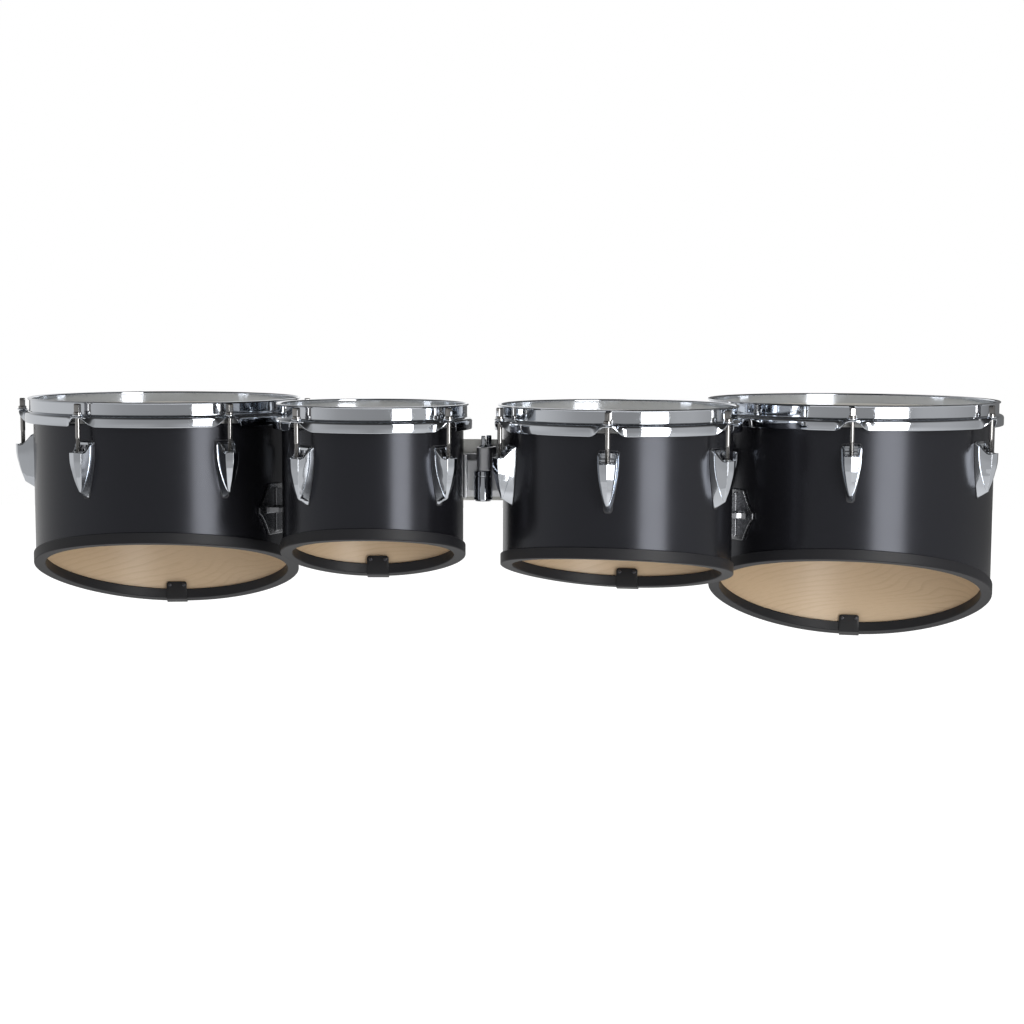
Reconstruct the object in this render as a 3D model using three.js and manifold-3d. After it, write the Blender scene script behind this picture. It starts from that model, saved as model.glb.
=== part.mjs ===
// Marching tenor drums: a 12, 8, 10 and 13 inch drum carried side by side on cast brackets.
// Millimetres, +Z up, -Y towards the audience, +X to the right as the audience sees it.
// The origin is the middle of the back face of the plate that a harness carrier holds.
import * as THREE from "three";
import { mergeVertices } from "three/addons/utils/BufferGeometryUtils.js";
import Module from "manifold-3d";

const wasm = await Module();
wasm.setup();

// Driving dimensions of the four drums, in the order seen from the audience
// radius: outside of the shell. frontDepth, backDepth: hoop top to the slanted bottom edge.
// facing: turn of the whole drum about its upright axis. firstLug: turn of a lug from the front.
const drum12 = { size: "12", radius: 151, frontDepth: 151, backDepth: 261, facing: 5 };
const drum8 = { size: "8", radius: 100, frontDepth: 138, backDepth: 205, facing: 4 };
const drum10 = { size: "10", radius: 126, frontDepth: 153, backDepth: 219, facing: -7.5 };
const drum13 = { size: "13", radius: 164, frontDepth: 166, backDepth: 304, facing: -10 };
const drums = [drum12, drum8, drum10, drum13];
Object.assign(drum12, { lugs: 6, firstLug: 30 });
Object.assign(drum8, { lugs: 4, firstLug: 45 });
Object.assign(drum10, { lugs: 6, firstLug: 0 });
Object.assign(drum13, { lugs: 6, firstLug: 0 });

// Places of the drums: gaps between neighbouring shells, and the sweep of the outer pair
const hoopTop = 77;
const middleForward = 50;
const middleGap = 44;
const middleSkew = 2.4;
const leftGap = 33.5;
const leftSweep = 27.6;
const rightGap = 39;
const rightSweep = 29.7;

// Clearances: seat between parts that touch, run around a rod, and the overrun of every cut
const seat = 0.3;
const run = 0.4;
const overrun = 2;

// Shell, rubber edge trim and the clip over the seam of the trim
const shellWall = 7;
const edgeLand = 1.5;
const trimReach = 2.6;
const trimLip = 3.5;
const trimHeight = 12;
const clipWidth = 21;
const clipGauge = 1.6;
const clipInside = 21;

// Head: film under tension and its flesh hoop
const headDepth = 12;
const film = 0.8;
const fleshHeight = 6;

// Triple-flanged hoop, pressed from one gauge of steel
const gauge = 2.3;
const lipReach = 6.2;
const lipHeight = 2;
const hoopWall = 4.4;
const skirtReach = 9.9;
const stepDepth = 15.6;
const hoopHeight = 26.8;
const earReach = 19;
const earWidth = 24;
const earTip = 12;
const notchFoot = 35;
const notchHead = 19;

// Tension rod, its washer and key head
const rodOffset = 13.9;
const rodRadius = 2.75;
const rodEnd = 76.5;
const washerRadius = 5.6;
const washerHeight = 1.5;
const collarRadius = 4.6;
const collarHeight = 3;
const keySquare = 6.35;
const keyHeight = 9;

// Lug: a shield whose raised border runs down to the tip, and the keel that holds the insert
const lugDepth = 42.5;
const lugLength = 61;
const lugWidth = 22;
const keelReach = 23;
const keelWidth = 16;
const keelBevel = 3.5;
const keelDrop = 9;
const tipReach = 11.5;
const boreDepth = 38;

// Brackets between the outer and the inner drums
const footGauge = 4;
const starHeight = 58;
const starFlat = 24.4;
const starWidth = 56.5;
const ribHeight = 7;
const ribWaist = 28;
const webWidth = 9;
const innerFootHeight = 44;
const innerFootWidth = 28;
const leftFootRoom = 11.4;
const rightFootRoom = 20.9;

// Middle bracket: rear plate, two arms with feet, clamp barrel and key bolts
const rearWidth = 56;
const rearHeight = 69;
const rearGauge = 6;
const armHeight = 48;
const armDepth = 20;
const armChamfer = 7;
const armBelowPlate = 14.7;
const middleFootWidth = 42;
const barrelForward = 44;
const barrelRadius = 9.2;
const barrelHeight = 26;
const barrelBelowPlate = 6;
const lobeRadius = 7;
const lobeHeight = 9;
const lobeAside = 5.5;
const lobeBack = 12;
const stemWidth = 14;
const socketRadius = 11;
const socketBore = 8;
const socketHeight = 35;
const socketChamfer = 2;
const socketFloor = 6;
const boltRadius = 2.4;
const boltWasher = 4;
const boltWasherHeight = 1.4;
const boltSquare = 4.6;
const boltHead = 11;

// Faceting: sides of a big ring, of a small round piece and of a hole, spans of a bent foot
const ringSides = 36;
const roundSides = 18;
const rodSides = 8;
const starSpans = 14;
const footSpans = 4;
const curveSpans = 5;

const degrees = THREE.MathUtils.degToRad;

// Materials
const lacquer = new THREE.MeshStandardMaterial({ color: 0x1b1b1d, roughness: 0.45, metalness: 0 });
const filmWhite = new THREE.MeshStandardMaterial({ color: 0xe9e6dc, roughness: 0.3, metalness: 0 });
const chrome = new THREE.MeshStandardMaterial({ color: 0xd8dadd, roughness: 0.08, metalness: 1 });
const castGrey = new THREE.MeshStandardMaterial({ color: 0x6d6e70, roughness: 0.5, metalness: 0.8 });

// Triangles that close a section: a fan from its first point, or rungs between mirrored halves
function fan(count) {
  return Array.from({ length: count - 2 }, (_, p) => [0, p + 2, p + 1]);
}

function rungs(count) {
  const triangles = [];
  for (let [p, q] = [0, count - 1]; p + 1 < q; p++, q--) {
    triangles.push([p + 1, p, q]);
    if (p + 1 < q - 1) triangles.push([q, q - 1, p + 1]);
  }
  return triangles;
}

// A closed body through a list of sections that all have the same number of points.
// A looped body joins its last section to its first; any other gets a cap at each end.
function loft(sections, { looped = false, cap = fan } = {}) {
  const count = sections[0].length;
  const positions = sections.flat().flatMap((point) => point);
  const index = [];
  const spans = looped ? sections.length : sections.length - 1;
  for (let s = 0; s < spans; s++) {
    const here = s * count;
    const next = ((s + 1) % sections.length) * count;
    for (let p = 0; p < count; p++) {
      const q = (p + 1) % count;
      index.push(here + p, here + q, next + q, here + p, next + q, next + p);
    }
  }
  if (!looped) {
    const end = (sections.length - 1) * count;
    for (const [a, b, c] of cap(count)) index.push(a, b, c, end + c, end + b, end + a);
  }
  const geometry = new THREE.BufferGeometry();
  geometry.setAttribute("position", new THREE.Float32BufferAttribute(positions, 3));
  geometry.setIndex(signedVolume(positions, index) < 0 ? reversed(index) : index);
  return geometry;
}

function signedVolume(positions, index) {
  const corner = (i) => new THREE.Vector3().fromArray(positions, index[i] * 3);
  let sum = 0;
  for (let i = 0; i < index.length; i += 3) sum += corner(i).dot(corner(i + 1).cross(corner(i + 2)));
  return sum;
}

function reversed(index) {
  const turned = [];
  for (let i = 0; i < index.length; i += 3) turned.push(index[i], index[i + 2], index[i + 1]);
  return turned;
}

// A ring about Z whose outline, a list of [radius, height], may change with the turn
function ring(outlineAt, sides) {
  const sections = [];
  for (let i = 0; i < sides; i++) {
    const turn = (i / sides) * 2 * Math.PI;
    const [x, y] = [Math.sin(turn), -Math.cos(turn)];
    sections.push(outlineAt(y).map(([r, z]) => [r * x, r * y, z]));
  }
  return loft(sections, { looped: true });
}

// Solids for joins and cuts
function solid(geometry) {
  const bare = geometry.index ? geometry.toNonIndexed() : geometry.clone();
  bare.deleteAttribute("normal");
  bare.deleteAttribute("uv");
  const merged = mergeVertices(bare);
  const mesh = { numProp: 3, vertProperties: merged.attributes.position.array };
  mesh.triVerts = new Uint32Array(merged.index.array);
  return new wasm.Manifold(new wasm.Mesh(mesh));
}

function join(...geometries) {
  return geometries.map(solid).reduce((whole, piece) => whole.add(piece));
}

function cut(whole, ...geometries) {
  return geometries.map(solid).reduce((rest, piece) => rest.subtract(piece), whole);
}

function geometryOf(manifold) {
  const { vertProperties, triVerts, numProp } = manifold.getMesh();
  const geometry = new THREE.BufferGeometry();
  const positions = [];
  for (let i = 0; i < vertProperties.length; i += numProp) positions.push(...vertProperties.slice(i, i + 3));
  geometry.setAttribute("position", new THREE.Float32BufferAttribute(positions, 3));
  geometry.setIndex([...triVerts]);
  return geometry;
}

function box(width, depth, height, x, y, z) {
  return new THREE.BoxGeometry(width, depth, height).translate(x, y, z);
}

// An upright cylinder from one height to another
function post(radius, low, high, x, y, sides = roundSides) {
  const cylinder = new THREE.CylinderGeometry(radius, radius, high - low, sides);
  return cylinder.rotateX(Math.PI / 2).translate(x, y, (low + high) / 2);
}

function named(name, geometry, material) {
  const mesh = new THREE.Mesh(geometry.computeVertexNormals() ?? geometry, material);
  mesh.name = name;
  return mesh;
}

// Shell with its edge trim and seam clip. All heights of a drum are measured from its hoop top.
function shellOf(drum) {
  const { radius, frontDepth, backDepth } = drum;
  const outer = radius + trimReach;
  const slope = (backDepth - frontDepth) / (2 * outer);
  const middle = (backDepth + frontDepth) / 2;
  const cutAt = (r, y) => -middle - slope * r * y;
  const inner = radius - shellWall;
  const top = -headDepth - film - seat;
  const body = ring(
    (y) => [
      [radius, top - edgeLand],
      [radius, cutAt(radius, y) + trimHeight],
      [outer, cutAt(outer, y) + trimHeight],
      [outer, cutAt(outer, y)],
      [inner - trimLip, cutAt(inner - trimLip, y)],
      [inner - trimLip, cutAt(inner - trimLip, y) + trimHeight],
      [inner, cutAt(inner, y) + trimHeight],
      [inner, top - shellWall + edgeLand],
      [radius - edgeLand, top],
    ],
    ringSides,
  );
  return geometryOf(join(body, clipOf(inner - trimLip, outer, (r) => cutAt(r, 1))));
}

// The clip wraps the trim at the lowest point of the drum's back, where the trim's ends meet
function clipOf(inside, outside, cutAt) {
  const [near, far] = [inside - clipGauge, outside + clipGauge];
  const middle = (inside + outside) / 2;
  const outline = [
    [near, cutAt(near) - clipGauge],
    [far, cutAt(far) - clipGauge],
    [far, cutAt(far) + trimHeight],
    [middle, cutAt(middle) + trimHeight / 2],
    [inside, cutAt(inside) + clipInside],
    [near, cutAt(near) + clipInside],
  ];
  return loft([-clipWidth / 2, clipWidth / 2].map((x) => outline.map(([y, z]) => [x, y, z])));
}

// Head: a film over the bearing edge, with a collar down to the flesh hoop
function headOf({ radius }) {
  const top = -headDepth;
  const inner = radius + seat;
  const collar = inner + film;
  const rim = radius + skirtReach - gauge - seat;
  const fleshTop = -stepDepth - gauge - seat;
  const fleshBottom = fleshTop - fleshHeight;
  const outline = [
    [0, top - film],
    [inner, top - film],
    [inner, fleshBottom],
    [rim, fleshBottom],
    [rim, fleshTop],
    [collar, fleshTop],
    [collar, top],
    [0, top],
  ];
  const points = outline.map(([r, z]) => new THREE.Vector2(r, z));
  return new THREE.LatheGeometry(points, ringSides).rotateX(Math.PI / 2);
}

function lugTurns({ lugs, firstLug }) {
  return Array.from({ length: lugs }, (_, i) => firstLug + (i * 360) / lugs);
}

// Hoop: lip, wall, step and skirt in one ring, then an ear for each rod with the skirt cut away
function hoopOf(drum) {
  const { radius } = drum;
  const wall = radius + hoopWall;
  const skirt = radius + skirtReach;
  const step = -stepDepth;
  const outline = [
    [wall - gauge, -lipHeight],
    [wall, 0],
    [radius + lipReach, 0],
    [radius + lipReach, -lipHeight],
    [wall, -lipHeight - gauge / 2],
    [wall, step],
    [skirt - gauge / 2, step],
    [skirt, step - gauge / 2],
    [skirt, -hoopHeight],
    [skirt - gauge, -hoopHeight],
    [skirt - gauge, step - gauge],
    [wall - gauge, step - gauge],
  ];
  let whole = solid(ring(() => outline, ringSides));
  for (const turn of lugTurns(drum)) {
    const place = (geometry) => geometry.rotateZ(degrees(turn));
    whole = whole.subtract(solid(place(notchOf(radius)))).add(solid(place(earOf(radius))));
    const [low, high] = [step - gauge - overrun, step + overrun];
    const hole = post(rodRadius + run, low, high, 0, -(radius + rodOffset), rodSides);
    whole = whole.subtract(solid(place(hole)));
  }
  return geometryOf(whole);
}

// Notch: the skirt's lower edge sweeps up on both sides of an ear
function notchOf(radius) {
  const [low, high] = [-hoopHeight - overrun, -stepDepth - gauge];
  const halfShares = [
    [0, 1],
    [0.2, 0.86],
    [0.5, 0.42],
    [1, 0],
  ];
  const side = halfShares.map(([rise, spread]) => [
    (notchHead + (notchFoot - notchHead) * spread) / 2,
    low + (high - low) * rise,
  ]);
  const outline = [...side, ...side.map(([x, z]) => [-x, z]).reverse()];
  const reaches = [radius + hoopWall, radius + skirtReach + overrun];
  return loft(reaches.map((reach) => outline.map(([x, z]) => [x, -reach, z])), { cap: rungs });
}

// Ear: a flat tab as thick as the hoop, drawn from the wall out past the rod
function earOf(radius) {
  const root = radius + hoopWall - gauge / 2;
  const shape = new THREE.Shape();
  shape.moveTo(-earWidth / 2, -root);
  shape.lineTo(-earWidth / 2, -(radius + skirtReach));
  shape.lineTo(-earTip / 2, -(radius + earReach));
  shape.lineTo(earTip / 2, -(radius + earReach));
  shape.lineTo(earWidth / 2, -(radius + skirtReach));
  shape.lineTo(earWidth / 2, -root);
  const tab = new THREE.ExtrudeGeometry(shape, { depth: gauge, bevelEnabled: false });
  return tab.translate(0, 0, -stepDepth - gauge);
}

// Tension rod with its washer and square key head, one piece that turns and rises with the hoop
function rodOf({ radius }) {
  const y = -(radius + rodOffset);
  const washerBottom = -stepDepth + seat;
  const washerTop = washerBottom + washerHeight;
  const collarTop = washerTop + collarHeight;
  const shaft = post(rodRadius, -rodEnd, collarTop, 0, y, rodSides);
  const washer = post(washerRadius, washerBottom, washerTop, 0, y, rodSides);
  const collar = post(collarRadius, washerTop - seat, collarTop, 0, y, rodSides);
  const keyMiddle = collarTop + keyHeight / 2 - seat;
  const key = box(keySquare, keySquare, keyHeight + seat, 0, y, keyMiddle);
  return geometryOf(join(shaft, washer, collar, key));
}

// Lug, in level sections from its top down. Half a section runs from the shell over the border,
// the border's inner foot, the keel's flank and the keel's edge to the ridge. Shares of each row:
// way down, half widths of the shield and the border, reach of the border, half width of the
// keel's edge, reach of the ridge, and how far the edge stays behind the ridge.
const levelShares = [
  [0, 1, 0.96, 0.48, 1, 1, 1],
  [0.33, 0.96, 0.89, 0.52, 0.93, 0.975, 1],
  [0.56, 0.82, 0.73, 0.63, 0.76, 0.895, 0.9],
  [0.74, 0.65, 0.48, 0.77, 0.52, 0.75, 0.7],
  [0.86, 0.54, 0.26, 0.9, 0.28, 0.6, 0.4],
  [0.925, 0.46, 0.11, 1, 0.12, 0.512, 0.1],
  [1, 0.22, 0.1, 0.05, 0.1, 0.03, 0],
];
const topDropShares = [0, 0.2, 0.24, 0.85, 1.05, 1];
const footReachShare = 0.86;
const footInShare = 0.75;
const flankReachShare = 0.42;
const flankInShare = 0.92;

function lugOf({ radius }) {
  const face = radius + seat;
  const mix = (from, to, share) => from + (to - from) * share;
  const sections = levelShares.map(([down, shield, border, borderReach, edge, ridge, bevel]) => {
    const borderAt = [(border * lugWidth) / 2, borderReach * tipReach];
    const edgeAt = [(edge * keelWidth) / 2, ridge * keelReach - bevel * keelBevel];
    const footAt = [mix(borderAt[0], edgeAt[0], footInShare), borderAt[1] * footReachShare];
    const flankAt = [mix(borderAt[0], edgeAt[0], flankInShare), mix(footAt[1], edgeAt[1], flankReachShare)];
    const half = [[(shield * lugWidth) / 2, 0], borderAt, footAt, flankAt, edgeAt, [0, ridge * keelReach]];
    const points = half.map(([x, reach], i) => {
      const drop = down === 0 ? topDropShares[i] * keelDrop : down * lugLength;
      return [x, -face - reach, -lugDepth - drop];
    });
    return [...points, ...points.slice(0, -1).reverse().map(([x, y, z]) => [-x, y, z])];
  });
  const bore = post(
    rodRadius + run, -lugDepth - boreDepth, -lugDepth + overrun, 0, -(radius + rodOffset), rodSides,
  );
  return geometryOf(cut(solid(loft(sections, { cap: rungs })), bore));
}

// A foot bent round a shell. half(u) is its half height at the distance u along the shell.
function footOf(radius, width, half, spans) {
  const sections = [];
  for (let i = 0; i <= spans; i++) {
    const along = (i / spans - 0.5) * width;
    const turn = along / radius;
    const place = (r, z) => [r * Math.cos(turn), r * Math.sin(turn), z];
    const [near, far, high] = [radius + seat, radius + seat + footGauge, half(Math.abs(along))];
    sections.push([place(near, -high), place(far, -high), place(far, high), place(near, high)]);
  }
  return loft(sections);
}

// Half height of the star-shaped foot: level in the middle, then a hollow curve to the rib's tip
function starHalf(along) {
  const hollow = 1.5;
  const past = Math.max(0, (along - starFlat / 2) / (starWidth / 2 - starFlat / 2));
  return ribHeight / 2 + (starHeight / 2 - ribHeight / 2) * Math.pow(1 - past, hollow);
}

// Spacer between an outer and an inner drum, in a frame centred on the outer drum with +X inwards
function spacerOf(outer, inner, distance) {
  const starFoot = footOf(outer.radius, starWidth, starHalf, starSpans);
  const plainFoot = footOf(inner.radius, innerFootWidth, () => innerFootHeight / 2, footSpans);
  plainFoot.rotateZ(Math.PI).translate(distance, 0, 0);
  const near = outer.radius + seat + footGauge / 2;
  const starTurn = starWidth / 2 / outer.radius;
  const innerTurn = innerFootWidth / 2 / inner.radius;
  const innerReach = inner.radius + seat + footGauge / 2;
  const far = distance - innerReach;
  const middle = (near + far) / 2;
  const rib = new THREE.Shape();
  const innerX = distance - innerReach * Math.cos(innerTurn);
  const innerY = innerReach * Math.sin(innerTurn);
  rib.moveTo(near * Math.cos(starTurn), near * Math.sin(starTurn));
  rib.quadraticCurveTo(near, ribWaist / 2, middle, ribWaist / 2);
  rib.lineTo(innerX, innerY);
  rib.absarc(distance, 0, innerReach, Math.PI - innerTurn, Math.PI + innerTurn, false);
  rib.lineTo(middle, -ribWaist / 2);
  rib.quadraticCurveTo(near, -ribWaist / 2, near * Math.cos(starTurn), -near * Math.sin(starTurn));
  rib.absarc(0, 0, near, -starTurn, starTurn, false);
  const flange = new THREE.ExtrudeGeometry(rib, {
    depth: ribHeight,
    bevelEnabled: false,
    curveSegments: curveSpans,
  });
  flange.translate(0, 0, -ribHeight / 2);
  const webEnd = (x, height) => [
    [x, -webWidth / 2, -height / 2],
    [x, webWidth / 2, -height / 2],
    [x, webWidth / 2, height / 2],
    [x, -webWidth / 2, height / 2],
  ];
  const web = loft([webEnd(near, starHeight - ribHeight), webEnd(far, innerFootHeight - ribHeight)]);
  return geometryOf(join(starFoot, plainFoot, flange, web));
}

// Heights of the middle bracket, from the middle of the rear plate
const plateTop = rearHeight / 2;
const armTop = plateTop - armBelowPlate;
const barrelTop = plateTop - barrelBelowPlate;
const barrelBottom = barrelTop - barrelHeight;

// Middle bracket: rear plate and stem, clamp barrel with its rear lobe, arms and feet
function middleBracketOf(left, right) {
  const plate = box(rearWidth, rearGauge, rearHeight, 0, -rearGauge / 2, 0);
  const barrel = post(barrelRadius, barrelBottom, barrelTop, 0, -barrelForward);
  const lobe = post(lobeRadius, barrelTop - lobeHeight, barrelTop, lobeAside, -barrelForward + lobeBack);
  const stemBack = -rearGauge / 2;
  const stemFront = -barrelForward + socketRadius + seat;
  const stemMiddle = armTop - armHeight / 2;
  const stem = box(stemWidth, stemBack - stemFront, armHeight, 0, (stemBack + stemFront) / 2, stemMiddle);
  const neckHeight = armTop - barrelBottom;
  const neck = box(stemWidth, socketRadius + overrun, neckHeight, 0, stemFront, armTop - neckHeight / 2);
  const arms = [left, right].map((drum) => armOf(drum, stemFront));
  const hole = post(
    boltRadius + run, barrelBottom - overrun, barrelTop + overrun, 0, -barrelForward, rodSides,
  );
  const rearBolt = keyBolt(lobeAside, -barrelForward + lobeBack, barrelTop, barrelTop - lobeHeight / 2);
  return geometryOf(cut(join(plate, barrel, lobe, stem, neck, ...rearBolt, ...arms.flat()), hole));
}

// One arm, with chamfered front edges, and the foot that bolts it to a shell
function armOf(drum, front) {
  const side = Math.sign(drum.x);
  const towards = Math.atan2(-barrelForward - drum.y, -drum.x);
  const foot = footOf(drum.radius, middleFootWidth, () => armHeight / 2, footSpans);
  foot.rotateZ(towards).translate(drum.x, drum.y, armTop - armHeight / 2);
  const back = front + armDepth;
  const outline = [
    [front + armChamfer, armTop],
    [back, armTop],
    [back, armTop - armHeight],
    [front + armChamfer, armTop - armHeight],
    [front, armTop - armHeight + armChamfer],
    [front, armTop - armChamfer],
  ];
  const reach = drum.radius + seat + footGauge / 2;
  const endAt = (y) => drum.x - side * Math.sqrt(reach ** 2 - (y - drum.y) ** 2);
  const sections = [outline.map(([y, z]) => [0, y, z]), outline.map(([y, z]) => [endAt(y), y, z])];
  return [foot, loft(sections)];
}

// Carrier socket: a chromed tube, open below, held under the barrel by its two key bolts
function socketOf() {
  const top = barrelBottom - seat;
  const bottom = top - socketHeight;
  const outline = [
    [0, top - socketFloor],
    [socketBore, top - socketFloor],
    [socketBore, bottom],
    [socketRadius - socketChamfer, bottom],
    [socketRadius, bottom + socketChamfer],
    [socketRadius, top],
    [0, top],
  ];
  const points = outline.map(([r, z]) => new THREE.Vector2(r, z));
  const tube = new THREE.LatheGeometry(points, roundSides).rotateX(Math.PI / 2);
  tube.translate(0, -barrelForward, 0);
  return geometryOf(join(tube, ...keyBolt(0, -barrelForward, barrelTop + seat, top - socketFloor / 2)));
}

// Key bolt: washer, square head, and a shaft down to a depth. The front one runs through the
// barrel into the socket, and the rear one is screwed into the lobe.
function keyBolt(x, y, washerBottom, low) {
  const washerTop = washerBottom + boltWasherHeight;
  const shaft = post(boltRadius, low, washerTop + boltHead / 2, x, y, rodSides);
  const washer = post(boltWasher, washerBottom, washerTop, x, y, rodSides);
  const head = box(boltSquare, boltSquare, boltHead + seat, x, y, washerTop + boltHead / 2 - seat / 2);
  return [shaft, washer, head];
}

// Centres of the drums: the inner pair face each other across the middle, the outer pair sweep back
const polar = (length, angle) => [length * Math.cos(degrees(angle)), length * Math.sin(degrees(angle))];
const away = (from, [dx, dy]) => ({ x: from.x + dx, y: from.y + dy });
const middlePoint = { x: 0, y: -middleForward };
Object.assign(drum8, away(middlePoint, polar(middleGap / 2 + drum8.radius, 180 - middleSkew)));
Object.assign(drum10, away(middlePoint, polar(middleGap / 2 + drum10.radius, -middleSkew)));
const leftDistance = drum8.radius + leftGap + drum12.radius;
const rightDistance = drum10.radius + rightGap + drum13.radius;
Object.assign(drum12, away(drum8, polar(leftDistance, 180 - leftSweep)));
Object.assign(drum13, away(drum10, polar(rightDistance, rightSweep)));

const group = new THREE.Group();

for (const drum of drums) {
  const place = new THREE.Group();
  place.position.set(drum.x, drum.y, hoopTop);
  place.rotation.z = degrees(drum.facing);
  place.add(named(`shell_${drum.size}`, shellOf(drum), lacquer));
  place.add(named(`head_${drum.size}`, headOf(drum), filmWhite));
  place.add(named(`hoop_${drum.size}`, hoopOf(drum), chrome));
  lugTurns(drum).forEach((turn, i) => {
    const spoke = new THREE.Group();
    spoke.rotation.z = degrees(turn);
    spoke.add(named(`lug_${drum.size}_${i + 1}`, lugOf(drum), chrome));
    spoke.add(named(`tension_rod_${drum.size}_${i + 1}`, rodOf(drum), chrome));
    place.add(spoke);
  });
  group.add(place);
}

// How deep a drum's slanted edge lies on the side that looks in a direction of the whole part
function edgeDepth({ frontDepth, backDepth, facing }, angle) {
  return (backDepth + frontDepth) / 2 + ((backDepth - frontDepth) / 2) * Math.sin(degrees(angle - facing));
}

// A spacer's feet stay a little way above the edge trims of both of its drums
function addSpacer(name, outer, inner, distance, angle, room) {
  const outerFree = edgeDepth(outer, angle) - starHeight / 2;
  const innerFree = edgeDepth(inner, angle + 180) - innerFootHeight / 2;
  const spacer = named(name, spacerOf(outer, inner, distance), castGrey);
  spacer.position.set(outer.x, outer.y, hoopTop - Math.min(outerFree, innerFree) + trimHeight + room);
  spacer.rotation.z = degrees(angle);
  group.add(spacer);
}

addSpacer("left_spacer_bracket", drum12, drum8, leftDistance, -leftSweep, leftFootRoom);
addSpacer("right_spacer_bracket", drum13, drum10, rightDistance, 180 + rightSweep, rightFootRoom);
group.add(named("centre_bracket", middleBracketOf(drum8, drum10), castGrey));
group.add(named("carrier_socket", socketOf(), chrome));

export default group;
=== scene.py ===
import math
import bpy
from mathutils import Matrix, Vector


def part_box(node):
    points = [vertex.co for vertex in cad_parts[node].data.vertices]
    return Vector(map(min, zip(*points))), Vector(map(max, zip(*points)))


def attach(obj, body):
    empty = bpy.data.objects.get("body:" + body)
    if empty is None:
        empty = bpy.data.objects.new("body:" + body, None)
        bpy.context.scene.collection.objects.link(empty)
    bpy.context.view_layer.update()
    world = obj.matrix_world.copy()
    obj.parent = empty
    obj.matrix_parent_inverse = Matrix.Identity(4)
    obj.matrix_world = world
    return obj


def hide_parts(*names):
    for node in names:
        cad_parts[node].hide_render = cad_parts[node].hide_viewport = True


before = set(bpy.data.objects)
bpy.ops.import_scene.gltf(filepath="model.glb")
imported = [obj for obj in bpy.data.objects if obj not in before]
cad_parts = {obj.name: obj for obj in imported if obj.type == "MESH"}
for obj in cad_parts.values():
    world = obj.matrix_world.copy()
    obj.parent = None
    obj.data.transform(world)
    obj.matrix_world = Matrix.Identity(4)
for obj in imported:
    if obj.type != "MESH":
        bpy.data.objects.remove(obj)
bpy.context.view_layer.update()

from types import SimpleNamespace

import bmesh
import bpy
import numpy as np
from mathutils import Matrix, Vector

# Drum shells
# Four plied maple tubes, their lower ends sawn on a slant so that the opening faces the audience.
# Outside they are sprayed with satin black lacquer; inside they are clear sealed maple. The upper
# edge is cut to a slope that carries the head.

mm = 0.001
drums = [
    SimpleNamespace(size="12", radius=151, front=151, back=261, facing=5, lugs=6, first_lug=30),
    SimpleNamespace(size="8", radius=100, front=138, back=205, facing=4, lugs=4, first_lug=45),
    SimpleNamespace(size="10", radius=126, front=153, back=219, facing=-7.5, lugs=6, first_lug=0),
    SimpleNamespace(size="13", radius=164, front=166, back=304, facing=-10, lugs=6, first_lug=0),
]
shell_wall = 7
lacquer_depth = 0.4
edge_land = 1.5
sawn_edge, sanded_edge, lacquer_edge = 0.2, 0.6, 0.1
shell_top = -13.1
trim_reach = 2.6
trim_base = 2.4
cut_bow_share = 0.07
cut_lean = 1.7


def turned_about_z(angle):
    """A turn about the upright axis, in degrees."""
    return Matrix.Rotation(math.radians(angle), 4, "Z")


# A drum's own place: the middle of its hoop's top, turned to the way it faces
for drum in drums:
    low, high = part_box(f"head_{drum.size}")
    middle = (low + high) / 2
    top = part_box(f"hoop_{drum.size}")[1].z
    drum.place = Matrix.Translation((middle.x, middle.y, top)) @ turned_about_z(drum.facing)


def cut_at(drum, reach, turn):
    """Height of a drum's slanted lower edge, at a reach from its axis and a turn from its front.

    The cut is bowed: a little lower at front and back, higher at the sides, and lower on the right.
    """
    forward, aside = (reach * f(turn) / (drum.radius + trim_reach) for f in (math.cos, math.sin))
    fall = drum.back - drum.front
    bow = cut_bow_share * fall * (0.5 - forward ** 2)
    return -(drum.back + drum.front) / 2 + fall / 2 * forward + bow - cut_lean * aside


def bands(rings, points, looped=False):
    """Quads that join each ring of points to the next, and in a loop the last ring to the first."""
    return [
        [i * points + j, i * points + (j + 1) % points,
         (i + 1) % rings * points + (j + 1) % points, (i + 1) % rings * points + j]
        for i in range(rings if looped else rings - 1)
        for j in range(points)
    ]


crease_angle = 35
weld = 0.002


def mesh_of(name, points, faces, crease=crease_angle, lined=0):
    """A smooth-shaded mesh from points in millimetres; edges bent more than the crease stay sharp.

    The first faces, as many as are lined, take the second material.
    """
    mesh = bpy.data.meshes.new(name)
    mesh.from_pydata([tuple(point) for point in np.asarray(points, float) * mm], [], faces)
    mesh.polygons.foreach_set("material_index", [int(i < lined) for i in range(len(faces))])
    work = bmesh.new()
    work.from_mesh(mesh)
    bmesh.ops.remove_doubles(work, verts=work.verts, dist=weld * mm)
    bmesh.ops.recalc_face_normals(work, faces=work.faces)
    work.to_mesh(mesh)
    work.free()
    mesh.shade_smooth()
    mesh.set_sharp_from_angle(angle=math.radians(crease))
    return mesh


flat_guard = 0.15
guard_share, bend_share = 0.03, 0.46


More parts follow.
